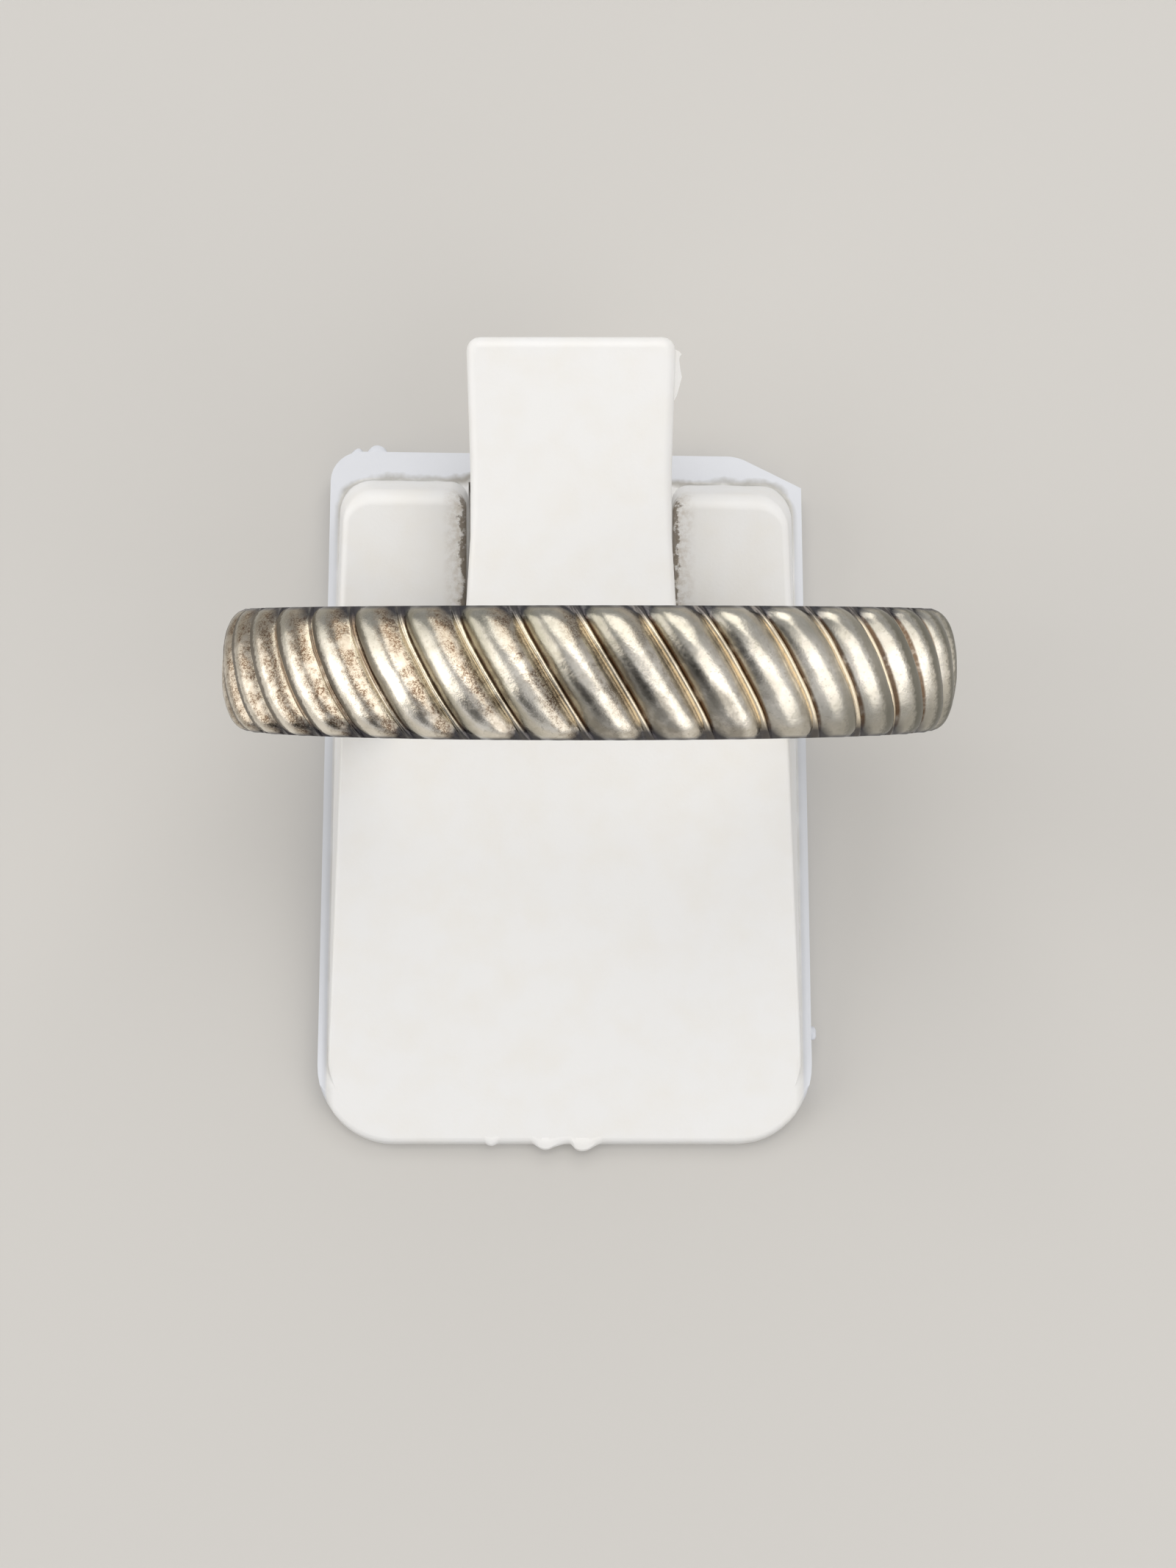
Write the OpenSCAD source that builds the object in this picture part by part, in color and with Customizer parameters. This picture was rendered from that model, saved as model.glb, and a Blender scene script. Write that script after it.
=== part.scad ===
// A rope-twist band ring on the one-piece plastic stand that displays it, in millimetres.
// The origin is on the surface below the middle of the whole, +X right, +Y back, +Z up.

/* [Band ring] */
// Inside diameter of the band, the finger size
ring_bore = 17; // [16.7:0.1:17.1]
// Outside diameter, over the rope ribs
ring_outer = 20.5; // [20.2:0.1:20.6]
// Width of the band, along the finger
band_w = 3.3; // [2.8:0.1:3.4]
// How far the band under the ribs falls away at its two edges
band_crown = 0.42; // [0.3:0.02:0.5]
// Number of rope ribs round the band
rib_count = 38; // [34:1:40]
// Height of a rib above the grooves beside it
rib_h = 0.38; // [0.25:0.01:0.45]
// Share of that height that a rib loses at the band's edge, where it runs out
rib_fade = 0.75; // [0.4:0.05:0.9]
// Slant of the ribs from the line of the finger, in degrees
rib_slant = 32; // [20:1:40]
// Angle of one groove from the top of the band, towards +X, in degrees
rib_start = -5.25; // [-9:0.25:9]
// Softening of the band's two inside edges
bore_ease = 0.2; // [0.1:0.05:0.3]

/* [Seat of the ring] */
// Lean of the ring's line of finger, and of the ramp and tongue along it, in degrees
lean = 17; // [16:0.5:18]
// Height of the ring's centre
ring_z = 10.9; // [10.9:0.05:11.2]
// Place of the ring's centre from front to back
ring_y = -0.07; // [-0.2:0.01:0.2]
// How far the ring has slid to the right of the stand's middle
ring_slide = 0.75; // [0.5:0.05:0.8]

/* [Stand, foot and ramp] */
// Width of the foot
foot_w = 15.1; // [14.9:0.05:15.6]
// Place of the foot's front edge
foot_front = -11.75; // [-12:0.05:-11.5]
// Length of the foot from front to back
foot_l = 22.1; // [21.9:0.1:22.6]
// Thickness of the foot's rim
foot_t = 1; // [0.8:0.05:1.05]
// Radius of the two front corners
front_r = 2.3; // [1.8:0.1:2.8]
// Radius of the left back corner
back_r = 1; // [0.8:0.1:1.4]
// Trimmed right back corner, along the back edge
back_trim_w = 2; // [1:0.1:2.4]
// Trimmed right back corner, along the side
back_trim_l = 1.05; // [0.6:0.05:1.2]
// Width of the rim that shows beside the ramp and the pads
side_rim = 0.31; // [0.2:0.01:0.4]
// Lean of the side walls, so that the moulding leaves its mould, in degrees
wall_draft = 8.4; // [4:0.2:10]

/* [Stand, tongue and pads] */
// Depth of the ramp's and the tongue's top face below the ring's centre
tongue_drop = 6.45; // [6.35:0.05:6.45]
// Thickness of the tongue
tongue_t = 1.05; // [0.9:0.05:1.05]
// Width of the tongue at its root, under the ring
root_w = 6.6; // [6.3:0.05:6.6]
// Width of the tongue at its narrowest
waist_w = 6.1; // [5.8:0.05:6.2]
// Width of the tongue at its tip
tip_w = 6.35; // [6.2:0.05:6.5]
// Reach of the tongue past the ring's centre
tongue_reach = 10.05; // [9:0.05:11]
// Trimmed corners of the tongue's tip, across it
tip_trim_w = 0.4; // [0.2:0.05:0.6]
// Trimmed corners of the tongue's tip, along it
tip_trim_l = 0.26; // [0.1:0.02:0.4]
// How far the tongue sits to the right of the stand's middle
tongue_shift = 0.2; // [0:0.02:0.2]
// Depth of the pads' faces below the ring's centre
pad_drop = 9.95; // [9.95:0.05:10]
// Reach of the pads past the ring's centre
pad_reach = 5.71; // [5:0.01:5.9]
// Lean of the pads' back walls from the line square to the pads, in degrees
pad_back_lean = 11.6; // [5:0.2:14]
// Width of the window between the pads, under the tongue
window_w = 7.05; // [7:0.05:7.6]
// How far the window sits to the right of the stand's middle
window_shift = 0.08; // [0:0.02:0.1]
// Distance from the ring's centre forward to the step that stops it
step_front = 1.75; // [1.75:0.05:2]

/* [Hidden] */
foot_back = foot_front + foot_l;
// Samples round one rib, steps across the band, and steps in a corner's arc
rib_samples = 6;
across_steps = 12;
arc_steps = 8;
// How late the band falls away, and the ribs run out, towards the band's edges
crown_power = 2.6;
fade_power = 8;
// Length that reaches past the whole object in any direction
far = 30;

// Places its children in the ring's own frame: the ring's centre is the origin,
// +Y runs along the finger towards the back, and +Z points out over the front of the band
module in_ring_frame()
    translate([0, ring_y, ring_z]) rotate([lean, 0, 0]) children();

// Radius at the bottom of the grooves, and share of the ribs' height that is left,
// s of the way from the middle of the band's width (0) to its edge (1)
function groove_r(s) = ring_outer / 2 - rib_h - band_crown * pow(s, crown_power);
function rib_left(s) = 1 - rib_fade * pow(s, fade_power);

// Height of the rib above the groove, u from one groove (0) to the next (1): a round arc
rib_half = PI * ring_outer / rib_count * cos(rib_slant) / 2;
rib_arc = (rib_half * rib_half + rib_h * rib_h) / (2 * rib_h);
function rib_rise(u) =
    sqrt(pow(rib_arc, 2) - pow((2 * u - 1) * rib_half, 2)) - (rib_arc - rib_h);

// Turn of the ribs for each millimetre of the band's width, in degrees
rib_turn = tan(rib_slant) / (ring_outer / 2) * 180 / PI;

// Section of the band at one column, as pairs of radius and place along the finger:
// across the outside, then back through the bore with its eased edges
function band_section(u) = concat(
    [for (i = [0 : across_steps])
        let (s = cos(180 * i / across_steps))
        [groove_r(abs(s)) + rib_rise(u) * rib_left(abs(s)), -band_w / 2 * s]],
    [[ring_bore / 2 + bore_ease, band_w / 2],
     [ring_bore / 2, band_w / 2 - bore_ease],
     [ring_bore / 2, -band_w / 2 + bore_ease],
     [ring_bore / 2 + bore_ease, -band_w / 2]]
);

// The band ring: columns of section points follow the slant of the ribs round the band
module rope_band() {
    columns = rib_count * rib_samples;
    rows = len(band_section(0));
    points = [for (c = [0 : columns - 1])
        for (p = band_section((c % rib_samples) / rib_samples))
            let (turn = rib_start + 360 * c / columns - rib_turn * p[1])
            [p[0] * sin(turn), p[1], p[0] * cos(turn)]];
    faces = [for (c = [0 : columns - 1]) for (r = [0 : rows - 1])
        let (
            here = c * rows + r,
            up = c * rows + (r + 1) % rows,
            next = (c + 1) % columns * rows + r,
            next_up = (c + 1) % columns * rows + (r + 1) % rows
        )
        each [[here, up, next_up], [here, next_up, next]]];
    color("silver") in_ring_frame() polyhedron(points, faces);
}

// Points of a round corner about centre c, from one angle to another
function corner(c, r, from, to) = [for (i = [0 : arc_steps])
    let (a = from + (to - from) * i / arc_steps)
    [c[0] + r * cos(a), c[1] + r * sin(a)]];

// The stand's outline seen from above, drawn in from the foot's edge by inset
function stand_plan(inset) =
    let (
        w = foot_w / 2 - inset,
        y0 = foot_front + inset,
        y1 = foot_back - inset
    )
    concat(
        corner([-w + front_r, y0 + front_r], front_r, 180, 270),
        corner([w - front_r, y0 + front_r], front_r, 270, 360),
        [[w, y1 - back_trim_l], [w - back_trim_w, y1]],
        corner([-w + back_r, y1 - back_r], back_r, 90, 180)
    );

// The ramp in front of the ring and the pads behind it, between drafted side walls
module ramp_and_pads() {
    half_w = foot_w / 2 - side_rim;
    side_lost = far * tan(wall_draft);
    back_gained = (far - pad_drop) * tan(pad_back_lean);
    intersection() {
        linear_extrude(far) polygon(stand_plan(side_rim));
        rotate([90, 0, 0]) linear_extrude(2 * far, center = true)
            polygon([
                [-half_w, 0], [half_w, 0],
                [half_w, foot_t], [half_w - side_lost, foot_t + far],
                [-half_w + side_lost, foot_t + far], [-half_w, foot_t]
            ]);
        in_ring_frame() rotate([90, 0, 90]) linear_extrude(2 * far, center = true)
            polygon([
                [-far, -far], [-far, -tongue_drop],
                [-step_front, -tongue_drop], [-step_front, -pad_drop],
                [pad_reach, -pad_drop], [pad_reach + back_gained, -far]
            ]);
    }
}

// The long tongue that the ring is slid over: wide at its root, waisted, trimmed at its tip
module tongue() {
    waist_y = tongue_reach / 2;
    side = [
        [root_w / 2, -step_front - tongue_t],
        [root_w / 2, 0],
        [waist_w / 2, waist_y - 1],
        [waist_w / 2, waist_y + 1],
        [tip_w / 2, tongue_reach - tip_trim_l],
        [tip_w / 2 - tip_trim_w, tongue_reach]
    ];
    other_side = [for (i = [len(side) - 1 : -1 : 0]) [-side[i][0], side[i][1]]];
    in_ring_frame() translate([tongue_shift, 0, -tongue_drop - tongue_t])
        linear_extrude(tongue_t) polygon(concat(side, other_side));
}

// The window between the pads: it runs straight down, from the step to the pads' back wall
module window() {
    front = ring_y - step_front * cos(lean) + pad_drop * sin(lean);
    pad_back = ring_y + pad_reach * cos(lean) + pad_drop * sin(lean);
    pad_z = ring_z + pad_reach * sin(lean) - pad_drop * cos(lean);
    back = pad_back + (pad_z - foot_t) * tan(lean + pad_back_lean);
    translate([window_shift - window_w / 2, front, -foot_t])
        cube([window_w, back - front, pad_z + 2 * foot_t]);
}

// The stand: foot, ramp, pads and tongue in one moulding, cut flat along the ramp
module display_stand()
    color("whitesmoke") translate([-ring_slide, 0, 0]) {
        difference() {
            union() {
                linear_extrude(foot_t) polygon(stand_plan(0));
                ramp_and_pads();
            }
            window();
            in_ring_frame() translate([-far, -far, -tongue_drop]) cube(2 * far);
        }
        tongue();
    }

rope_band();
display_stand();
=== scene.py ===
import math

import bmesh
import bpy
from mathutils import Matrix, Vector, noise


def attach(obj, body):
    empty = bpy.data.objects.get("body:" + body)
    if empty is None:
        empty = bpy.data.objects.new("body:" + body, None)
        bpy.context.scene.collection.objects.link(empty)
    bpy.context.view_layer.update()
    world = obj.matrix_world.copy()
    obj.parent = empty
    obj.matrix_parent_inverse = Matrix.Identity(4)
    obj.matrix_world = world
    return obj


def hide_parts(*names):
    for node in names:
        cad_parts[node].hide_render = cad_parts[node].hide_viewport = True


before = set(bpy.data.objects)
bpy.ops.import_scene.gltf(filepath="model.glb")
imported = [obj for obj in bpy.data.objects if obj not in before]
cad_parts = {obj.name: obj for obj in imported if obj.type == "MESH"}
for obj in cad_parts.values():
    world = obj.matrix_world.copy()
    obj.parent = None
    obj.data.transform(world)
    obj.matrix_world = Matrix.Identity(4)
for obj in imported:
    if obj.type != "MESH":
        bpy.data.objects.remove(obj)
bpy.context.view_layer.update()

# ---------------------------------------------------------------------------------------
# Display stand. One injection moulding of white polystyrene that rests loose on its foot:
# a flat foot with a thin rim, a ramp, two pads with an open window between them, and the
# long tongue that a ring is slid over.

# Sizes are in millimetres. Pieces are drawn a thousand times too large and scaled down
# when they are done, because bevel and boolean drop edges of a tenth of a millimetre.
MM = 0.001
NEAR, ROUGHLY = 0.01, 0.1                # how close counts as at a place, and as about there
STAND_X = -0.75                          # the middle of the foot
BACK_SKEW = 0.014                        # how much the moulding's back falls off to the right
FOOT_W, FOOT_FRONT, FOOT_BACK, FOOT_T = 15.1, -11.95, 10.25, 1.0
FRONT_CORNER_R, BACK_CORNER_R = 2.3, 1.0
BACK_TRIM_W, BACK_TRIM_L, TRIM_EASE = 2.0, 1.05, 0.5
RIM_BREAK, UNDER_BREAK = 0.14, 0.05      # broken edges of the foot, above and below


def deselect_all():
    if bpy.context.object and bpy.context.object.mode != "OBJECT":
        bpy.ops.object.mode_set(mode="OBJECT")
    bpy.ops.object.select_all(action="DESELECT")


def make_active(piece):
    deselect_all()
    piece.select_set(True)
    bpy.context.view_layer.objects.active = piece


def apply_transform():
    bpy.ops.object.transform_apply(location=True, rotation=True, scale=True)


def edit(piece):
    make_active(piece)
    bpy.ops.object.mode_set(mode="EDIT")
    bpy.ops.mesh.select_all(action="DESELECT")


def add_block(name, low, high):
    """A cube primitive between two corners, left in edit mode with nothing selected."""
    deselect_all()
    low, high = Vector(low), Vector(high)
    bpy.ops.mesh.primitive_cube_add(size=1, location=(low + high) / 2)
    piece = bpy.context.object
    piece.name = piece.data.name = name
    piece.scale = high - low
    apply_transform()
    edit(piece)
    return piece


def select_where(piece, kind, wanted):
    """In edit mode, selects the verts or the edges that wanted(element) says yes to."""
    bpy.ops.mesh.select_mode(type={"verts": "VERT", "edges": "EDGE"}[kind])
    bpy.ops.mesh.select_all(action="DESELECT")
    mesh = bmesh.from_edit_mesh(piece.data)
    mesh.normal_update()
    for element in getattr(mesh, kind):
        if wanted(element):
            element.select_set(True)
    mesh.select_flush_mode()
    bmesh.update_edit_mesh(piece.data)


def middle(edge):
    return (edge.verts[0].co + edge.verts[1].co) / 2


def runs_along(edge, axis):
    """How nearly an edge runs along a direction: 1 is along it, 0 square to it."""
    return abs((edge.verts[1].co - edge.verts[0].co).normalized().dot(Vector(axis)))


def is_upright(edge):
    """Whether an edge stands steeper than about 45 degrees."""
    return runs_along(edge, (0, 0, 1)) > 0.7


def is_sharp(edge):
    """Whether the surface turns down over an edge, by more than 30 degrees."""
    return edge.is_convex and edge.calc_face_angle(0) > math.radians(30)


def bevel(width, segments):
    bpy.ops.mesh.bevel(offset=width, segments=segments, profile=0.5, affect="EDGES",
                       clamp_overlap=True)


def slice_off(place, towards):
    """In edit mode, cuts away what lies past a plane, on the side it points towards."""
    bpy.ops.mesh.select_all(action="SELECT")
    bpy.ops.mesh.bisect(plane_co=place, plane_no=Vector(towards).normalized(), use_fill=True,
                        clear_outer=True, threshold=1e-5)


# The foot: a plate with round front corners, one round back corner and one trimmed.
half_foot = FOOT_W / 2
foot_right = STAND_X + half_foot
stand = add_block("stand_moulding", (STAND_X - half_foot, FOOT_FRONT, 0),
                  (foot_right, FOOT_BACK, FOOT_T))
select_where(stand, "verts", lambda v: v.co.x > 0 and v.co.y > 0)
bpy.ops.transform.translate(value=(0, -BACK_SKEW * FOOT_W, 0))
select_where(stand, "edges", lambda e: is_upright(e) and middle(e).y < 0)
bevel(FRONT_CORNER_R, segments=12)
select_where(stand, "edges", lambda e: is_upright(e) and middle(e).y > 0 and middle(e).x < 0)
bevel(BACK_CORNER_R, segments=8)
slice_off((foot_right, FOOT_BACK - BACK_SKEW * FOOT_W - BACK_TRIM_L, 0),
          (BACK_TRIM_L, BACK_TRIM_W, 0))
select_where(stand, "edges",
             lambda e: is_upright(e) and abs(middle(e).x - foot_right + BACK_TRIM_W) < ROUGHLY)
bevel(TRIM_EASE, segments=5)
select_where(stand, "edges", lambda e: is_sharp(e) and middle(e).z > FOOT_T - NEAR)
bevel(RIM_BREAK, segments=4)
select_where(stand, "edges", lambda e: is_sharp(e) and middle(e).z < NEAR)
bevel(UNDER_BREAK, segments=2)

# The body of ramp and pads: one block between drafted walls, with rounded corners.
LEAN = math.radians(17)                  # of the ramp, the tongue and the line of finger
RING_CENTRE = Vector((0, -0.07, 10.9))
ALONG = Vector((0, math.cos(LEAN), math.sin(LEAN)))      # up the tongue
OUT = Vector((0, -math.sin(LEAN), math.cos(LEAN)))       # square to the tongue's top face
SIDE_RIM, WALL_DRAFT = 0.31, math.radians(8.4)
BLOCK_LOW, BLOCK_BACK, BLOCK_TOP = 0.4, 11, 6            # before it is cut to its form
PAD_DROP, PAD_REACH, PAD_BACK_LEAN = 9.95, 5.5, math.radians(11.6)
PAD_CORNER_R, PAD_INNER_R = 1.0, 0.58
PAD_BREAK, PAD_BACK_BREAK = 0.2, 0.45    # broken edges of the pads, at the sides and the back
BACK_CORNERS = 5                         # the corners of the pads' back walls lie behind this


def leaning(x, along, out):
    """The place of a point given along and out from the ring's centre."""
    return RING_CENTRE + Vector((x, 0, 0)) + along * ALONG + out * OUT


half_block = half_foot - SIDE_RIM
block = add_block("block", (STAND_X - half_block, FOOT_FRONT + SIDE_RIM, BLOCK_LOW),
                  (STAND_X + half_block, BLOCK_BACK, BLOCK_TOP))
select_where(block, "edges", lambda e: is_upright(e) and middle(e).y < 0)
bevel(FRONT_CORNER_R, segments=12)
for side in (1, -1):
    slice_off((STAND_X + side * half_block, 0, FOOT_T),
              (side * math.cos(WALL_DRAFT), 0, math.sin(WALL_DRAFT)))
slice_off(leaning(STAND_X, PAD_REACH, -PAD_DROP), math.cos(PAD_BACK_LEAN) * ALONG
          + math.sin(PAD_BACK_LEAN) * OUT + Vector((BACK_SKEW, 0, 0)))
select_where(block, "edges", lambda e: is_upright(e) and middle(e).y > BACK_CORNERS)
bevel(PAD_CORNER_R, segments=8)

# The seat over the pads is cut out square to the tongue, and the window between them
# straight down; the pads' inner corners are rounded before the foot closes the window.
STEP_FRONT = 1.75                        # from the ring's centre forward to the step
FAR_ASIDE, FAR = 20, 30                  # past the block, to its sides, and behind or above it
WINDOW_W, WINDOW_X = 6.5, STAND_X + 0.13
WINDOW_LOW, WINDOW_TOP, WINDOW_PAST_PADS = -2, 8, 14
PAD_WALL_FOOT = 9.2                      # where the back walls of the pads meet the foot
CLEAR_OF_STEP = 2.4                      # where the pads' edges come clear of the step


def combine(piece, other, operation):
    """Unites another piece with this one, or cuts it out, by an applied Boolean."""
    make_active(piece)
    modifier = piece.modifiers.new(operation, "BOOLEAN")
    modifier.operation, modifier.object, modifier.solver = operation, other, "EXACT"
    bpy.ops.object.modifier_apply(modifier=modifier.name)
    bpy.data.objects.remove(other)


def place_leaning(piece, x):
    """Leans a piece that was drawn level about the ring's centre, and sets it there."""
    bpy.ops.object.mode_set(mode="OBJECT")
    piece.rotation_euler = (LEAN, 0, 0)
    piece.location = leaning(x, 0, 0)
    apply_transform()


def cut_window(piece, back):
    """Cuts the window straight down through a piece, from the step to a place behind it."""
    combine(piece, add_block("window", (window_left, window_front, WINDOW_LOW),
                             (window_right, back, WINDOW_TOP)), "DIFFERENCE")


def add_line(along):
    """In edit mode, cuts a line across the whole piece at a place along Y."""
    bpy.ops.mesh.select_all(action="SELECT")
    bpy.ops.mesh.bisect(plane_co=(0, along, 0), plane_no=(0, 1, 0))


seat = add_block("seat", (-FAR_ASIDE, -STEP_FRONT, -PAD_DROP), (FAR_ASIDE, FAR, FAR))
place_leaning(seat, 0)
combine(block, seat, "DIFFERENCE")
window_left, window_right = WINDOW_X - WINDOW_W / 2, WINDOW_X + WINDOW_W / 2
window_front = leaning(0, -STEP_FRONT, -PAD_DROP).y
cut_window(block, WINDOW_PAST_PADS)
cut_window(stand, PAD_WALL_FOOT)
edit(block)
select_where(block, "edges", lambda e: is_sharp(e) and is_upright(e) and middle(e).y > BACK_CORNERS
             and min(abs(middle(e).x - side) for side in (window_left, window_right)) < ROUGHLY)
bevel(PAD_INNER_R, segments=6)
add_line(CLEAR_OF_STEP)                  # keeps the pads' long edges straight
bpy.ops.object.mode_set(mode="OBJECT")


def round_edges(piece, width_of):
    """Rounds each sharp edge by the width that width_of(edge) gives it."""
    mesh = bmesh.new()
    mesh.from_mesh(piece.data)
    mesh.normal_update()
    share = mesh.edges.layers.float.new("bevel_weight_edge")
    widths = {edge: width_of(edge) for edge in mesh.edges if is_sharp(edge)}
    widest = max(widths.values())
    for edge, width in widths.items():
        edge[share] = width / widest
    mesh.to_mesh(piece.data)
    mesh.free()
    make_active(piece)
    rounding = piece.modifiers.new("rounding", "BEVEL")
    rounding.limit_method, rounding.width, rounding.segments = "WEIGHT", widest, 5
    rounding.use_clamp_overlap = rounding.loop_slide = False
    bpy.ops.object.modifier_apply(modifier=rounding.name)
    piece.data.attributes.remove(piece.data.attributes["bevel_weight_edge"])


def pad_break(edge):
    """How far a pad's edge is rounded: much along the back, little along the sides."""
    from_ring = middle(edge) - RING_CENTRE
    if abs(from_ring.dot(OUT) + PAD_DROP) > NEAR or from_ring.dot(ALONG) < NEAR - STEP_FRONT:
        return 0
    return PAD_BREAK + (PAD_BACK_BREAK - PAD_BREAK) * runs_along(edge, (1, 0, 0)) ** 2


def merge_points(gap):
    """In edit mode, merges points that lie closer together than a gap."""
    bpy.ops.mesh.select_all(action="SELECT")
    bpy.ops.mesh.remove_doubles(threshold=gap)


def merge_flats(piece):
    """In edit mode, dissolves the edges between flat faces, but for the line across the pads."""
    select_where(piece, "edges",
                 lambda e: any(abs(v.co.y - CLEAR_OF_STEP) > ROUGHLY for v in e.verts))
    bpy.ops.mesh.dissolve_limited(angle_limit=math.radians(1))


round_edges(block, pad_break)
edit(block)
merge_points(0.02)
bpy.ops.object.mode_set(mode="OBJECT")
combine(stand, block, "UNION")
edit(stand)
merge_flats(stand)

# The tongue: waisted, its tip rounded, its root buried in the ramp. Then one cut along the
# slope finishes the top of the ramp and of the tongue together.
TONGUE_DROP, TONGUE_T = 6.45, 1.05       # depth of its top face below the ring's centre
TONGUE_SPARE = 0.4                       # drawn thicker by this, and cut with the ramp
TONGUE_ROOT, TONGUE_REACH, TONGUE_X = -STEP_FRONT - 1, 10.05, STAND_X + 0.2
ROOT_W, WAIST_W, TIP_W, WAIST_HALF_L = 6.6, 6.1, 6.35, 1
TIP_CORNER_R = 0.42
SAME = 1e-4                              # how close counts as the same point

tongue = add_block("tongue", (-0.5, TONGUE_ROOT, -TONGUE_DROP - TONGUE_T),
                   (0.5, TONGUE_REACH, -TONGUE_DROP + TONGUE_SPARE))
tongue_widths = [(TONGUE_ROOT, ROOT_W), (0, ROOT_W), (TONGUE_REACH / 2 - WAIST_HALF_L, WAIST_W),
                 (TONGUE_REACH / 2 + WAIST_HALF_L, WAIST_W), (TONGUE_REACH, TIP_W)]
for along, _ in tongue_widths[1:-1]:
    add_line(along)
for along, width in tongue_widths:
    select_where(tongue, "verts", lambda v: abs(v.co.y - along) < SAME)
    bpy.ops.transform.resize(value=(width, 1, 1), center_override=(0, 0, 0))
select_where(tongue, "edges", lambda e: is_upright(e) and middle(e).y > TONGUE_REACH - ROUGHLY)
bevel(TIP_CORNER_R, segments=4)
place_leaning(tongue, TONGUE_X)
combine(stand, tongue, "UNION")
edit(stand)
slice_off(leaning(0, 0, -TONGUE_DROP), OUT)
merge_points(0.002)
merge_flats(stand)
bpy.ops.mesh.select_all(action="SELECT")
bpy.ops.mesh.normals_make_consistent(inside=False)
bpy.ops.object.mode_set(mode="OBJECT")

# Broken edges of the tongue, at its tip, its root and its underside, and of the ramp. Over
# a low wall the ramp's edge is broken less, and so is the rim where the walls turn little.
TIP_BREAK, ROOT_BREAK, TONGUE_UNDER_BREAK, RAMP_BREAK = 0.36, 0.18, 0.1, 0.18
LOWEST_WALL, SHARE_OF_WALL = 0.04, 0.45
NO_BREAK_ANGLE, FULL_BREAK_ANGLE = 25, 60
TONGUE_SKIN = 0.05                       # how close to the tongue's underside counts as on it


def ramp_or_tongue_break(edge):
    """How far the mould breaks a sharp edge of the ramp or of the tongue."""
    centre = middle(edge)
    along, out = (centre - RING_CENTRE).dot(ALONG), (centre - RING_CENTRE).dot(OUT)
    above_underside = out + TONGUE_DROP + TONGUE_T
    if above_underside > -TONGUE_SKIN and along > NEAR - STEP_FRONT:
        if above_underside < TONGUE_SKIN:
            return TONGUE_UNDER_BREAK
        return ROOT_BREAK + (TIP_BREAK - ROOT_BREAK) * max(0.0, along) / TONGUE_REACH
    if abs(out + TONGUE_DROP) > NEAR:
        return 0
    if centre.z < FOOT_T:
        angle = math.degrees(edge.calc_face_angle(0))
        return RIM_BREAK * min(1.0, (angle - NO_BREAK_ANGLE) / (FULL_BREAK_ANGLE - NO_BREAK_ANGLE))
    wall_height = min(v.co.z for v in edge.verts) - FOOT_T
    return min(RAMP_BREAK, SHARE_OF_WALL * wall_height) if wall_height > LOWEST_WALL else 0


round_edges(stand, ramp_or_tongue_break)

# Where the sprue was broken off at the front: one low torn edge with two blunt teeth. A
# second gate left two bumps at the back corner. An outline gives places along the edge,
# counted to the right for one who faces it, and how far it stands out at each.
STRIP_DEPTH, AT_FOOT = 0.4, 0.3          # how deep it reaches in, and its share at the foot


def add_torn_strip(name, low, high, outline, at_foot=1.0):
    """A strip along Y, between two heights, whose right edge stands out by an outline, and
    by a share of that at its foot."""
    strip = add_block(name, (-STRIP_DEPTH, outline[0][0], low), (0, outline[-1][0], high))
    for along, _ in outline[1:-1]:
        add_line(along)
    for along, proud in outline:
        for height, out in ((high, proud), (low, min(proud, proud * at_foot))):
            select_where(strip, "verts", lambda v: v.co.x > -STRIP_DEPTH / 2
                         and abs(v.co.y - along) + abs(v.co.z - height) < SAME)
            bpy.ops.transform.translate(value=(out, 0, 0))
    bpy.ops.object.mode_set(mode="OBJECT")
    return strip


def unite_torn_edge(name, y, turned, low, high, outline):
    """A torn strip, rounded by subdivision and turned to the front or back, on the foot."""
    torn = add_torn_strip(name, low, high, outline, AT_FOOT)
    torn.rotation_euler = (0, 0, math.radians(turned))
    torn.location = (0, y, 0)
    make_active(torn)
    apply_transform()
    soft = torn.modifiers.new("soft", "SUBSURF")
    soft.levels = soft.render_levels = 2
    bpy.ops.object.modifier_apply(modifier=soft.name)
    combine(stand, torn, "UNION")


unite_torn_edge("torn_front", FOOT_FRONT, turned=-90, low=0.05, high=0.6, outline=[
    (-3.35, -0.1), (-3.2, 0.03), (-3.05, 0.2), (-2.9, 0.17), (-2.76, 0.0), (-2.4, -0.06),
    (-1.95, -0.05), (-1.72, 0.05), (-1.58, 0.24), (-1.44, 0.36), (-1.24, 0.37), (-1.1, 0.24),
    (-0.92, 0.15), (-0.72, 0.07), (-0.56, 0.05), (-0.46, 0.3), (-0.34, 0.42), (-0.1, 0.42),
    (0.06, 0.3), (0.2, 0.15), (0.38, 0.05), (0.6, -0.1)])
unite_torn_edge("torn_back", FOOT_BACK, turned=90, low=0.3, high=0.97, outline=[
    (6.36, -0.1), (6.48, 0.06), (6.56, 0.28), (6.7, 0.42), (6.84, 0.46), (6.98, 0.42),
    (7.1, 0.24), (7.2, 0.04), (7.28, 0.12), (7.36, 0.28), (7.46, 0.32), (7.57, 0.22),
    (7.68, 0.04), (7.85, -0.2)])

# A crumb of plastic on the right side: a small uneven ball, united with the foot.
CRUMB_PLACE, CRUMB_RADII, CRUMB_UNEVEN = Vector((6.82, -8.6, 0.5)), (0.17, 0.2, 0.22), 0.35
deselect_all()
bpy.ops.mesh.primitive_ico_sphere_add(subdivisions=3, radius=1, location=CRUMB_PLACE)
crumb = bpy.context.object
for vert in crumb.data.vertices:
    vert.co *= 1 + CRUMB_UNEVEN * noise.noise(vert.co * 1.1 + CRUMB_PLACE)
crumb.scale = CRUMB_RADII
apply_transform()
combine(stand, crumb, "UNION")

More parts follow.
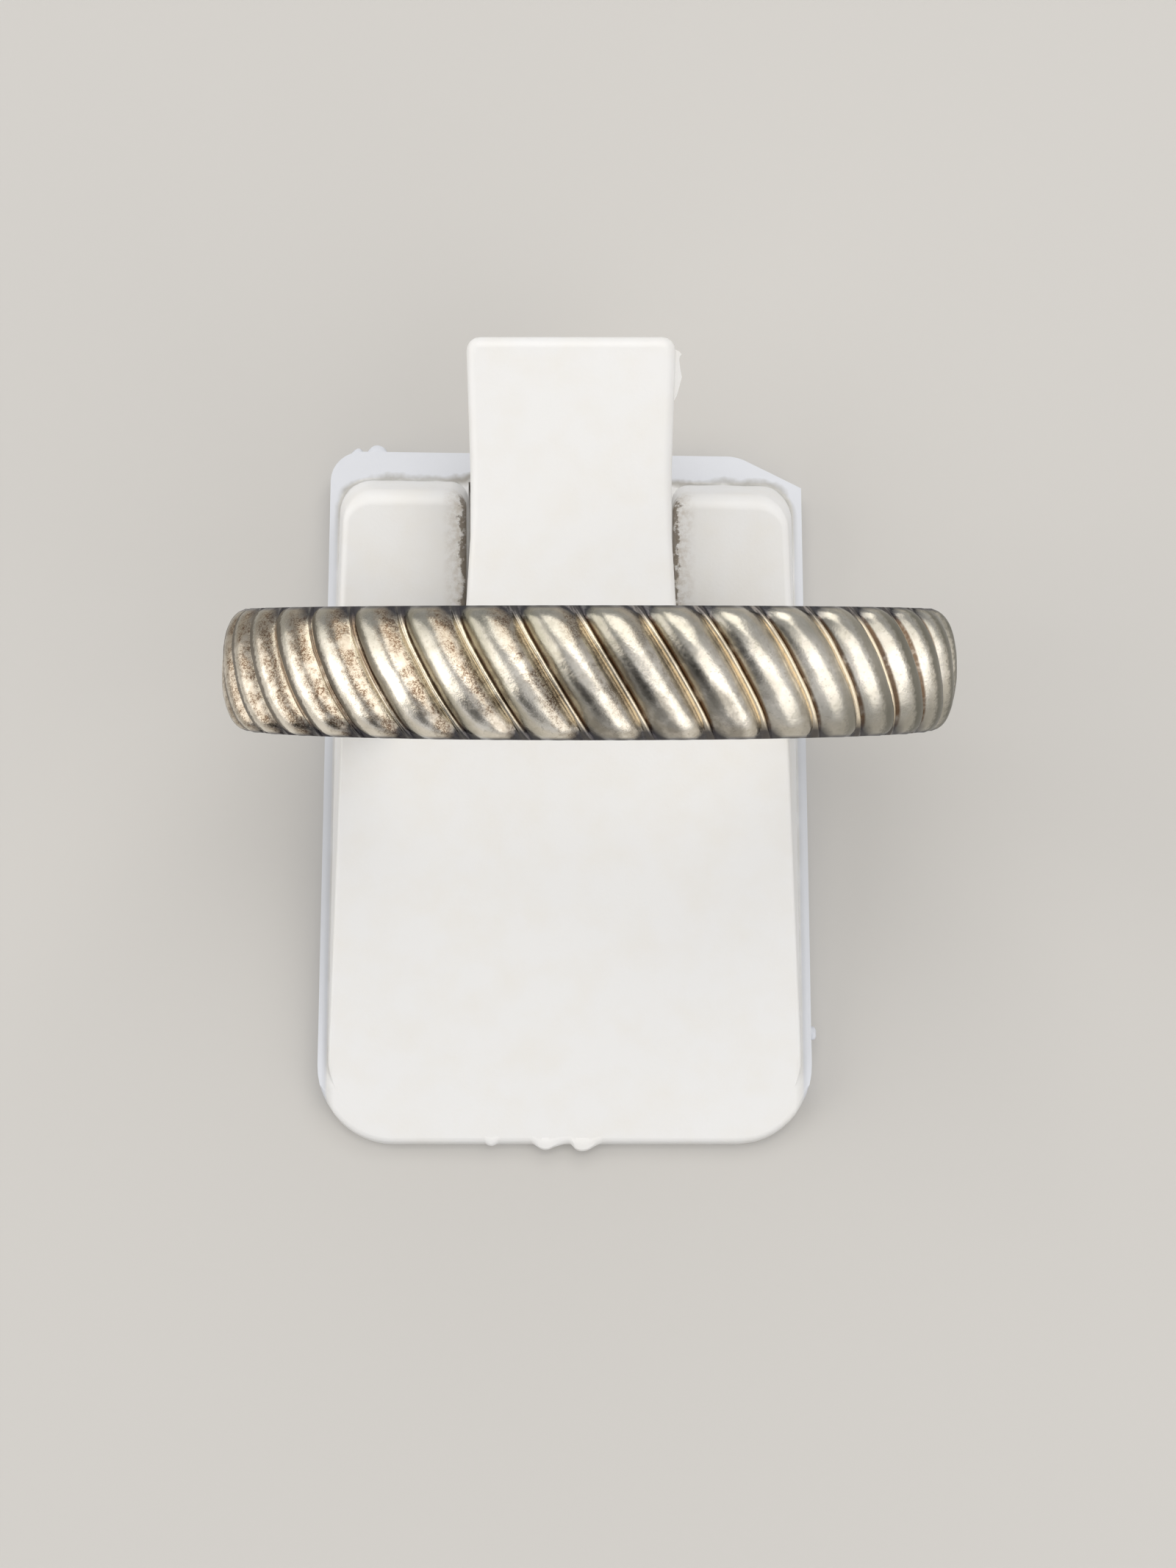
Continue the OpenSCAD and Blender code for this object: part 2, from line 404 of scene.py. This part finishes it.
# Flash: a ragged film that the mould's joint left on the right edge of the tongue.
FILM_TOP, FILM_LOW = 0.4, 0.47           # below the tongue's top face
film = add_torn_strip("film", -TONGUE_DROP - FILM_LOW, -TONGUE_DROP - FILM_TOP, [
    (8.05, -0.1), (8.3, 0.03), (8.55, 0.1), (8.85, 0.18), (9.1, 0.13), (9.35, 0.1), (9.46, 0.11),
    (9.54, 0.17), (9.62, 0.1), (9.72, -0.1)])
place_leaning(film, TONGUE_X + TIP_W / 2)
combine(stand, film, "UNION")

# Brought to metres, and shaded smooth over its roundings but flat between them.
stand.scale = (MM, MM, MM)
apply_transform()
bpy.ops.object.shade_smooth_by_angle(angle=math.radians(32))
flats = stand.modifiers.new("flats", "WEIGHTED_NORMAL")
flats.keep_sharp = True
bpy.ops.object.modifier_apply(modifier=flats.name)


def add_node(material, kind, *inputs, **settings):
    """Adds a shader node. Its sockets take the inputs in order, and the settings that bear a
    socket's name; a node given to a socket stands for its first output."""
    tree = material.node_tree
    made = tree.nodes.new("ShaderNode" + kind)
    given = dict(enumerate(inputs))
    for name, value in settings.items():
        if name in made.inputs:
            given[name] = value
        else:
            setattr(made, name, value)
    for socket, value in given.items():
        if isinstance(value, bpy.types.Node):
            value = value.outputs[0]
        if isinstance(value, bpy.types.NodeSocket):
            tree.links.new(value, made.inputs[socket])
        else:
            made.inputs[socket].default_value = value
    return made


def mask(material, *factors):
    """The product of several factors. A factor may be a ramp, (value, low, high), which goes
    from 0 at low to 1 at high, or (value, low, high, at_low, at_high); a pair of values in
    the place of its value stands for their difference."""
    product = None
    for factor in factors:
        if isinstance(factor, tuple):
            value, *limits = factor
            if isinstance(value, tuple):
                value = add_node(material, "Math", *value, operation="SUBTRACT")
            factor = add_node(material, "MapRange", value, *limits)
        if product is None:
            product = factor
        else:
            product = add_node(material, "Math", product, factor, operation="MULTIPLY")
    return product


def linear(srgb_hex):
    """Linear RGBA of an sRGB colour such as "#E8E4DC"."""
    parts = [int(srgb_hex[i:i + 2], 16) / 255 for i in (1, 3, 5)]
    return (*(c / 12.92 if c <= 0.04045 else ((c + 0.055) / 1.055) ** 2.4 for c in parts), 1.0)


def layered(material, srgb_hex, layers):
    """A colour with others laid over it, each by the product of the factors after it."""
    colour = linear(srgb_hex)
    for layer_hex, *factors in layers:
        colour = add_node(material, "MixRGB", mask(material, *factors), colour, linear(layer_hex))
    return colour


def new_material(name):
    """An empty node material, and its node for the place on the piece in millimetres."""
    material = bpy.data.materials.new(name)
    material.use_nodes = True
    material.node_tree.nodes.clear()
    place = add_node(material, "TexCoord").outputs["Object"]
    return material, add_node(material, "Mapping", place, Scale=(1 / MM, 1 / MM, 1 / MM))


def dress(piece, material, looks):
    """Ends a material with its shader, whose sockets take looks, and puts it on a piece."""
    add_node(material, "OutputMaterial", add_node(material, "BsdfPrincipled", **looks))
    piece.data.materials.clear()
    piece.data.materials.append(material)


# White polystyrene, moulded and handled: satin and warm white, with painted cool shade that
# makes the thin rim a little bluer. Grey dirt and painted shade lie in the crease round the
# walls and along the window.
polystyrene, mm = new_material("white_polystyrene")
x, y, z = add_node(polystyrene, "SeparateXYZ", mm).outputs
# A pattern's scale is its spots to the millimetre: yellowed patches of 1.1 mm, waves of the
# crease's edge of 0.8 mm, crumbs of the window's dark edge of 0.3 mm, specks of 0.2 mm and the
# mould's 0.1 mm grain.
patches = add_node(polystyrene, "TexNoise", mm, Scale=0.9, Detail=3.0)
waves = add_node(polystyrene, "TexNoise", mm, Scale=1.3, Detail=3.0)
crumbs = add_node(polystyrene, "TexNoise", mm, Scale=3.4, Detail=4.0, Roughness=0.7)
specks = add_node(polystyrene, "TexNoise", mm, Scale=5.0, Detail=5.0, Roughness=0.65)
grain = add_node(polystyrene, "TexNoise", mm, Scale=9.0, Detail=3.0)

# Distance outwards from the foot of the walls: below zero is inside them. Dirt and painted shade
# lie in a crease along that line, which wavers at the back.
WALL_CORNER = (half_block - PAD_CORNER_R, PAD_WALL_FOOT - PAD_CORNER_R, 0)
off_middle = add_node(polystyrene, "Math", x, STAND_X, operation="SUBTRACT")
squared = add_node(polystyrene, "Math", off_middle, BACK_SKEW, y, operation="MULTIPLY_ADD")
aside = add_node(polystyrene, "Math", off_middle, operation="ABSOLUTE")
past = add_node(polystyrene, "CombineXYZ", aside, squared)
past = add_node(polystyrene, "VectorMath", past, WALL_CORNER, operation="SUBTRACT")
past = add_node(polystyrene, "VectorMath", past, (0, 0, 0), operation="MAXIMUM")
reach = add_node(polystyrene, "VectorMath", past, operation="LENGTH").outputs["Value"]
outside_wall = add_node(polystyrene, "Math", reach, PAD_CORNER_R, operation="SUBTRACT")
low_down = mask(polystyrene, (z, FOOT_T + 0.3, FOOT_T + 0.1))
# Painted shade: a darker, bluer tint on the rim outside the walls.
rim_cool_shade = mask(polystyrene, low_down, (outside_wall, 0.0, 0.08))
waver = mask(polystyrene, (waves, 0.3, 0.7, -0.14, 0.1), (y, 8.0, 8.8))
wavy = add_node(polystyrene, "Math", outside_wall, waver, operation="ADD")
wavy = add_node(polystyrene, "Math", wavy, operation="ABSOLUTE")
# Dirt and painted shade: grey in the crease at the foot of the walls, darker near the window.
crease_dirt_and_shade = mask(polystyrene, low_down, (wavy, 0.19, 0.03), (y, 7.0, 9.0, 0.35, 1.0),
              (patches, 0.3, 0.6, 0.6, 1.0))

# Distance from the side of the window onto the pads, dirt and painted shade that thin out over
# them, and the ragged dark line of dirt and painted shadow along the edge itself.
PAD_LEVEL = RING_CENTRE.z - PAD_DROP / math.cos(LEAN) + 0.02     # of the pads' faces, at y = 0
onto_pad = add_node(polystyrene, "Math", x, WINDOW_X, operation="SUBTRACT")
onto_pad = add_node(polystyrene, "Math", onto_pad, operation="ABSOLUTE")
onto_pad = add_node(polystyrene, "Math", onto_pad, WINDOW_W / 2, operation="SUBTRACT")
level = add_node(polystyrene, "Math", y, -math.tan(LEAN), z, operation="MULTIPLY_ADD")
window_dirt_and_shade = mask(polystyrene, (level, 1.6, 1.3), (y, 1.2, 2.2), (y, 9.15, 9.05),
                 (onto_pad, 0.75, 0.02), (level, PAD_LEVEL - 0.9, PAD_LEVEL - 0.1, 0.1, 1.0))
grime = mask(polystyrene, window_dirt_and_shade, (specks, 0.42, 0.62))
ragged_by = mask(polystyrene, (crumbs, 0.38, 0.66, 0.0, 0.3))
dark_edge_dirt_and_shadow = mask(polystyrene, (window_dirt_and_shade, 0.1, 0.7), ((onto_pad, ragged_by), 0.05, -0.04))

# Over the warm white: yellowed patches, painted cool shade on the rim, dirt and painted shade in
# the crease and beside the window, grime specks, and a dark edge of dirt and painted shadow.
colour = layered(polystyrene, "#E3E3E2", [
    ("#E0DDD6", (patches, 0.4, 0.8, 0.0, 0.5)),
    ("#CED1D7", rim_cool_shade),
    ("#9C9A94", crease_dirt_and_shade, 0.85),
    ("#7E776B", crease_dirt_and_shade, (onto_pad, 1.0, 0.1), 0.8),
    ("#B4AEA8", window_dirt_and_shade, 0.2),
    ("#A69884", grime, 0.65),
    ("#6E6252", dark_edge_dirt_and_shadow, 0.85)])
satin = mask(polystyrene, (specks, 0.3, 0.7, 0.36, 0.5))
dress(stand, polystyrene, {
    "Base Color": colour,
    "Roughness": add_node(polystyrene, "Math", grime, 0.25, satin, operation="MULTIPLY_ADD"),
    "IOR": 1.59,
    "Normal": add_node(polystyrene, "Bump", Height=grain, Strength=0.35, Distance=0.01 * MM)})
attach(stand, "root")
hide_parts("display_stand")

# ---------------------------------------------------------------------------------------
# Band ring. Cast sterling silver: a half-round band with 38 slanted rope ribs and a plain
# bore, slid over the tongue down to the step. One rib is modelled, repeated round the
# band and twisted to its slant.

BORE_R, OUTER_R, BAND_W = 8.5, 10.25, 3.36
BORE_EASE = 0.2
BAND_CROWN, CROWN_POWER = 0.42, 2.6      # how much, and how late, the band falls to its edges
RIB_COUNT, RIB_H, RIB_SLANT = 38, 0.38, math.radians(32)
TIP_SHRINK, TIP_POWER = 0.88, 12         # how the ribs narrow to blunt tips at the edges
RIB_ROUND = 2.4                          # 2 is a round rib, more is a flatter crest
RIB_SHARE, RIB_STEPS = 0.87, 20          # share of the pitch that the rib takes, and its steps
BEAD_H, BEAD_STEPS = 0.07, 8             # the fine strand in each groove, left of its bottom
WIDTH_STEPS = 48
FIRST_GROOVE = -5.25                     # degrees from the top of the band
RING_PUSH = 0.08                         # how far up the tongue the ring was pushed
IN_BORE = 1.5                            # place across the band that marks the bore
DENT_SIZE, DENT_DEPTH = 0.9, 0.045
DENTS_FROM_BORE, DENT_POWER = 0.5, 6     # where they start, and how late they fade at the edges

deselect_all()
section_r = OUTER_R - RIB_H
bpy.ops.mesh.primitive_plane_add(size=1, location=((BORE_R + section_r) / 2, 0, 0),
                                 rotation=(math.radians(90), 0, 0))
ring = bpy.context.object
ring.name = ring.data.name = "rope_ring"
ring.scale = (section_r - BORE_R, BAND_W, 1)
apply_transform()
edit(ring)
select_where(ring, "verts", lambda v: v.co.x < BORE_R + NEAR)
bpy.ops.mesh.bevel(offset=BORE_EASE, segments=5, affect="VERTICES")
select_where(ring, "edges", lambda e: middle(e).x > section_r - NEAR)
bpy.ops.mesh.subdivide(number_cuts=WIDTH_STEPS - 1)
bpy.ops.mesh.select_all(action="SELECT")
bpy.ops.mesh.delete(type="ONLY_FACE")
bpy.ops.mesh.select_all(action="SELECT")
pitch, steps = 2 * math.pi / RIB_COUNT, RIB_STEPS + BEAD_STEPS
bpy.ops.mesh.spin(steps=steps, angle=pitch, center=(0, 0, 0), axis=(0, 0, 1), dupli=False)

# The share of the pitch counts to the right along the front of the band. The steps are
# drawn closer where the bead will be, and the outside of this one wedge is raised to a rib
# that is round across and runs out at both edges, and to the bead beside it.
mesh = bmesh.from_edit_mesh(ring.data)
pattern = mesh.loops.layers.uv.new("rope")
sign = 1 if max(v.co.y for v in mesh.verts) > ROUGHLY else -1    # which way the spin went
outside, share_of = set(), {}
for vert in mesh.verts:
    radius = math.hypot(vert.co.x, vert.co.y)
    if radius > section_r - NEAR:
        outside.add(vert)
    turned = abs(math.atan2(vert.co.y, vert.co.x)) / pitch
    step = round(steps * (turned if sign > 0 else 1 - turned))
    if step < RIB_STEPS:
        share = RIB_SHARE * step / RIB_STEPS
    else:
        share = 1 - (1 - RIB_SHARE) * (steps - step) / BEAD_STEPS
    share_of[vert] = share
    angle = pitch * (share if sign > 0 else share - 1)
    if vert in outside:
        from_rib = 2 * share / RIB_SHARE - 1                 # -1 and 1 are the rib's two sides
        from_bead = (2 * share - 1 - RIB_SHARE) / (1 - RIB_SHARE)
        from_middle = min(1.0, abs(vert.co.z) / (BAND_W / 2))
        groove = section_r - BAND_CROWN * from_middle ** CROWN_POWER
        width_left = math.sqrt(1 - TIP_SHRINK * from_middle ** TIP_POWER)
        rib = RIB_H * width_left * (1 - abs(from_rib / width_left) ** RIB_ROUND)
        bead = BEAD_H * width_left * (1 - from_bead ** 2)
        radius = groove + max(0.0, rib, bead)
    vert.co.x, vert.co.y = radius * math.cos(angle), radius * math.sin(angle)
for face in mesh.faces:
    is_outside = all(v in outside for v in face.verts)
    for loop in face.loops:
        across = loop.vert.co.z / BAND_W + 0.5 if is_outside else IN_BORE
        loop[pattern].uv = (share_of[loop.vert], across)
bmesh.update_edit_mesh(ring.data)
bpy.ops.object.mode_set(mode="OBJECT")
uneven = ring.vertex_groups.new(name="outside")
for vert in ring.data.vertices:
    from_middle = 2 * abs(vert.co.z) / BAND_W
    if (math.hypot(vert.co.x, vert.co.y) > BORE_R + DENTS_FROM_BORE
            and abs(vert.co.z) < BAND_W / 2 - NEAR):
        uneven.add([vert.index], 1 - from_middle ** DENT_POWER, "REPLACE")

# The wedge is repeated into a band, twisted, and turned to its place on the tongue.
turn = bpy.data.objects.new("rib_step", None)
turn.rotation_euler = (0, 0, sign * pitch)
bpy.context.collection.objects.link(turn)
bpy.context.view_layer.update()
repeat = ring.modifiers.new("ribs", "ARRAY")
repeat.count = RIB_COUNT
repeat.use_relative_offset = False
repeat.use_object_offset, repeat.offset_object = True, turn
repeat.use_merge_vertices = repeat.use_merge_vertices_cap = True
repeat.merge_threshold = 0.001
repeat.offset_u = 1.0
make_active(ring)
bpy.ops.object.modifier_apply(modifier=repeat.name)
bpy.data.objects.remove(turn)
twist = ring.modifiers.new("slant", "SIMPLE_DEFORM")
twist.deform_method, twist.deform_axis = "TWIST", "Z"
twist.angle = -math.tan(RIB_SLANT) / OUTER_R * BAND_W
bpy.ops.object.modifier_apply(modifier=twist.name)
ring.rotation_euler = (0, 0, math.radians(FIRST_GROOVE - 90))
apply_transform()
edit(ring)
merge_points(0.001)
bpy.ops.mesh.normals_make_consistent(inside=False)
select_where(ring, "edges", lambda e: all(
    abs(v.co.z) > BAND_W / 2 - 0.001
    and math.hypot(v.co.x, v.co.y) > BORE_R + BORE_EASE + NEAR for v in e.verts))
bpy.ops.mesh.mark_sharp()
bpy.ops.object.mode_set(mode="OBJECT")
ring.rotation_euler = (LEAN - math.radians(90), 0, 0)
ring.location = (RING_CENTRE + RING_PUSH * ALONG) * MM
ring.scale = (MM, MM, MM)
apply_transform()
bpy.ops.object.shade_smooth_by_angle(angle=math.radians(50))

# The casting is a little uneven: slow dents all over the outside.
unevenness = bpy.data.textures.new("casting", "CLOUDS")
unevenness.noise_scale, unevenness.noise_depth = DENT_SIZE * MM, 2
dents = ring.modifiers.new("dents", "DISPLACE")
dents.texture, dents.strength, dents.mid_level = unevenness, DENT_DEPTH * MM, 0.5
dents.vertex_group = "outside"
bpy.ops.object.modifier_apply(modifier=dents.name)

# Worn cast sterling: bright but soft, pitted, with cream highlights. Where rubbing doesn't
# reach it is tarnished, crackled on the ribs' right flanks and brown in the grooves. Their
# taupe flanks, the black between the tips and the dull left end are tarnish and painted shade;
# the right end, the tips, feet and left sides bear painted shade, the front a painted dark
# reflection, and the fine strand is peach.
silver, mm = new_material("worn_cast_silver")
# Blotches of 0.45 mm, casting pits of 0.1 mm, and crackle with cells of 0.2 mm, which a
# noise of the same size stirs.
blotch = add_node(silver, "TexNoise", mm, Scale=2.2, Detail=4.0, Roughness=0.65)
pits = add_node(silver, "TexNoise", mm, Scale=9.0, Detail=5.0, Roughness=0.7)
stir = add_node(silver, "TexNoise", mm, Scale=5.0).outputs["Color"]
stirred = add_node(silver, "VectorMath", mm, stir, operation="ADD")
cells = add_node(silver, "TexVoronoi", stirred, Scale=5.5, feature="DISTANCE_TO_EDGE")
crackle = mask(silver, (cells, 0.15, 0.03), (blotch, 0.42, 0.52))

# Places on the piece: x in millimetres, the share of the pitch as modelled, plain and
# ragged, and the place across the band, from 0 at its front edge to 1 at its back.
x = add_node(silver, "SeparateXYZ", mm).outputs["X"]
right_half = mask(silver, (x, -2.5, 4.0))
left_half = add_node(silver, "Math", 1.0, right_half, operation="SUBTRACT")
up = add_node(silver, "VectorMath", mm, OUT, operation="DOT_PRODUCT").outputs["Value"]
upper_half = mask(silver, ((up, RING_CENTRE.dot(OUT)), -0.5, 1.0))
rope = add_node(silver, "SeparateXYZ", add_node(silver, "UVMap", uv_map="rope"))
share = add_node(silver, "Math", rope.outputs["X"], operation="FRACT")
ragged_by = mask(silver, (pits, 0.25, 0.75, -0.06, 0.06))
ragged = add_node(silver, "Math", share, ragged_by, operation="ADD")
across = rope.outputs["Y"]
on_rope = add_node(silver, "Math", across, (1 + IN_BORE) / 2, operation="LESS_THAN")

# The right flank of each rib, taupe with tarnish and painted shade, its fine strand, and the
# line in the groove, which widens towards the left end and the right end of the band.
flank = mask(silver, on_rope, (ragged, 0.5, 0.7), (blotch, 0.3, 0.55, 0.6, 1.0))
strand = mask(silver, on_rope, (ragged, RIB_SHARE - 0.05, RIB_SHARE - 0.02))
line_from = mask(silver, (x, -4.5, -8.0, 0.975, 0.84))
line_to = mask(silver, (x, 6.0, 9.0, 0.05, 0.08))
groove_line = add_node(silver, "Math", mask(silver, ((share, line_to), 0.0, -0.025)),
                       mask(silver, ((share, line_from), 0.0, 0.015)), operation="MAXIMUM")
groove_line = mask(silver, on_rope, groove_line, (blotch, 0.3, 0.5, 0.5, 1.0))

# A painted dark reflection on the front of the middle ribs, tarnish and painted shade along the
# left side of those at the left end, painted shade over the flanks of those at the right end,
# and painted shade on the ribs' left sides, feet and tips.
DARK_X = 1.9                             # the middle of the ribs that are dark at their front
from_dark = add_node(silver, "Math", x, DARK_X, operation="SUBTRACT")
from_dark = add_node(silver, "Math", from_dark, operation="ABSOLUTE")
dark_to = mask(silver, (across, 0.8, 0.3, 0.0, 0.48))
# Painted dark reflection on the fronts of the middle ribs.
painted_dark_reflection = mask(silver, on_rope, ((dark_to, ragged), -0.03, 0.08), (from_dark, 3.1, 1.7),
                  (blotch, 0.3, 0.5, 0.7, 1.0))
# Tarnish and painted shade on the left flanks of the ribs at the left end, upper half only.
left_from = mask(silver, (x, -6.4, -9.6, 0.06, 0.3))
left_line_tarnish_and_shade = mask(silver, on_rope, ((ragged, left_from), 0.25, 0.19), (x, -4.0, -6.5), upper_half)
# Painted shade over the flanks of the ribs at the right end, upper half only.
end_from = mask(silver, (x, 6.0, 9.9, 0.38, 0.15))
end_to = mask(silver, (x, 7.2, 10.0, 0.87, 0.52))
painted_end_shade = mask(silver, on_rope, ((ragged, end_from), 0.0, 0.12), ((ragged, end_to), 0.12, 0.0),
                 (x, 5.0, 8.0), upper_half)
# Painted shade: on the left side of each rib in the left half, on the ribs' feet towards the
# right, on their tips, and on the tips in the left half.
painted_shade_side = mask(silver, on_rope, left_half, (ragged, 0.34, 0.16))
painted_shade_feet = mask(silver, on_rope, (across, 0.46, 0.2), (x, 3.5, 6.5, 0.0, 1.15))
painted_shade_tips = mask(silver, on_rope, (across, 0.58, 0.85))
painted_shade_left = mask(silver, on_rope, left_half, (across, 0.5, 0.76), (blotch, 0.3, 0.6, 0.7, 1.0))

# Dark patina and painted shade between the rib tips, which narrow here as they do in the mesh,
# and along the two edges of the band.
to_edge = add_node(silver, "Math", across, 0.5, operation="SUBTRACT")
to_edge = add_node(silver, "Math", to_edge, operation="ABSOLUTE")
to_edge = add_node(silver, "Math", to_edge, 2.0, operation="MULTIPLY")
width_left = add_node(silver, "Math", to_edge, TIP_POWER, operation="POWER")
width_left = add_node(silver, "Math", width_left, -TIP_SHRINK, 1.0, operation="MULTIPLY_ADD")
width_left = add_node(silver, "Math", width_left, operation="SQRT")
from_rib = add_node(silver, "Math", share, 2 / RIB_SHARE, -1.0, operation="MULTIPLY_ADD")
from_rib = add_node(silver, "Math", from_rib, operation="ABSOLUTE")
between_tips = mask(silver, (to_edge, 0.7, 0.88), ((from_rib, width_left), -0.3, 0.02))
patina_and_shade = add_node(silver, "Math", between_tips, mask(silver, (to_edge, 0.945, 0.985)),
                  operation="MAXIMUM")

# Over the silver: pits, painted shade, a painted dark reflection, tarnish and painted shade on the
# flanks and ends, crackle, the strand's peach, the groove's tarnish, and patina with painted
# shade.
tone = layered(silver, "#F9F2E5", [
    ("#E3DCCD", (blotch, 0.35, 0.65)),
    ("#A39B8C", on_rope, (pits, 0.56, 0.66), 0.4),
    ("#8E8C80", painted_shade_tips, 0.62),
    ("#77756A", painted_shade_left, 0.45),
    ("#86847A", painted_shade_feet, 0.6),
    ("#8F8B78", painted_shade_side, 0.75),
    ("#4C463C", painted_dark_reflection, 0.62),
    ("#4E463C", left_line_tarnish_and_shade, 0.85),
    ("#A49682", flank, left_half, 0.85),
    ("#B2A998", flank, right_half, 0.75),
    ("#66645A", painted_end_shade, 0.9),
    ("#614833", flank, crackle, (right_half, 0.2, 0.8, 0.9, 0.15)),
    ("#DCD3BE", strand, left_half, 0.6),
    ("#E8D9BF", strand, right_half, 0.9),
    ("#5F452C", groove_line, (right_half, 0.0, 1.0, 0.75, 0.9)),
    ("#434348", on_rope, patina_and_shade, 0.9)])
# The painted shade at the right end of the front, and the tarnish and painted shade at its
# left end, are partly non-metal, so they don't shine like metal at a low angle.
dull_tarnish_and_shade = add_node(silver, "Math", mask(silver, left_line_tarnish_and_shade, 0.8), mask(silver, painted_end_shade, 0.45),
                operation="MAXIMUM")
dress(ring, silver, {
    "Base Color": tone,
    "Metallic": add_node(silver, "Math", 1.0, dull_tarnish_and_shade, operation="SUBTRACT"),
    "Roughness": mask(silver, (pits, 0.3, 0.7, 0.13, 0.28)),
    "Specular IOR Level": 0,
    "Normal": add_node(silver, "Bump", Height=pits, Strength=0.35, Distance=0.02 * MM)})
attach(ring, "root")
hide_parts("rope_band")

# ---------------------------------------------------------------------------------------
# Stage: a plain pale floor under the foot, soft studio light from above, and the camera
# at the photograph's angle, square to the band but for less than three degrees.

deselect_all()
bpy.ops.mesh.primitive_plane_add(size=0.8, location=(0, 0, 0))
floor = bpy.context.object
floor.name = floor.data.name = "floor"
paper = new_material("pale_paper")[0]    # matt and even
dress(floor, paper, {"Base Color": linear("#C2C0BC"), "Roughness": 0.8})

DISTANCE, CAMERA_X = 83, -0.037          # from the ring's centre, and how far to its left
ABOVE_AXIS, AIM = math.radians(0.6), math.radians(2.77)  # its place and aim, off square
camera = bpy.data.objects.new("camera", bpy.data.cameras.new("camera"))
bpy.context.collection.objects.link(camera)
seen_from = DISTANCE * (math.cos(ABOVE_AXIS) * OUT + math.sin(ABOVE_AXIS) * ALONG)
camera.location = (RING_CENTRE + seen_from + Vector((CAMERA_X, 0, 0))) * MM
camera.rotation_euler = (LEAN - AIM, 0, 0)
camera.data.lens, camera.data.sensor_width = 67.8, 36
camera.data.clip_start, camera.data.clip_end = 0.001, 5
bpy.context.scene.camera = camera

# Three square softboxes, aimed at the stand: name, place in metres, size and watts.
LIT_PLACE = Vector((0, 0, 0.006))
for name, place, size, watts in [("left", (-0.45, 0.0, 0.20), 0.54, 1.22),
                                 ("right", (0.29, -0.27, 0.30), 0.55, 0.93),
                                 ("top", (0.04, 0.22, 0.45), 0.50, 1.4)]:
    lamp = bpy.data.objects.new(name, bpy.data.lights.new(name, "AREA"))
    bpy.context.collection.objects.link(lamp)
    lamp.location = place
    lamp.rotation_euler = (LIT_PLACE - Vector(place)).to_track_quat("-Z", "Y").to_euler()
    lamp.data.size, lamp.data.energy, lamp.data.color = size, watts, linear("#FFFBF5")[:3]

# The surroundings that the silver mirrors are a grey dome, a little lighter near the
# floor, with one dark patch over the camera's left: where it is, and its soft edge.
PATCH_DIRECTION = (-0.54, -0.63, 0.56)
PATCH_EDGE, PATCH_CORE = math.cos(math.radians(26)), math.cos(math.radians(15))
world = bpy.data.worlds.new("studio")
bpy.context.scene.world = world
world.use_nodes = True
looking = add_node(world, "TexCoord").outputs["Generated"]
height = add_node(world, "SeparateXYZ", looking).outputs["Z"]
to_patch = add_node(world, "VectorMath", looking, PATCH_DIRECTION, operation="DOT_PRODUCT")
brightness = mask(world, (height, 0.1, 0.7, 0.70, 0.62),
                  (to_patch.outputs["Value"], PATCH_EDGE, PATCH_CORE, 1.0, 0.15))
background = world.node_tree.nodes["Background"]
background.inputs["Color"].default_value = linear("#F1F2F6")
world.node_tree.links.new(brightness.outputs[0], background.inputs["Strength"])
bpy.context.scene.view_settings.view_transform = "Standard"
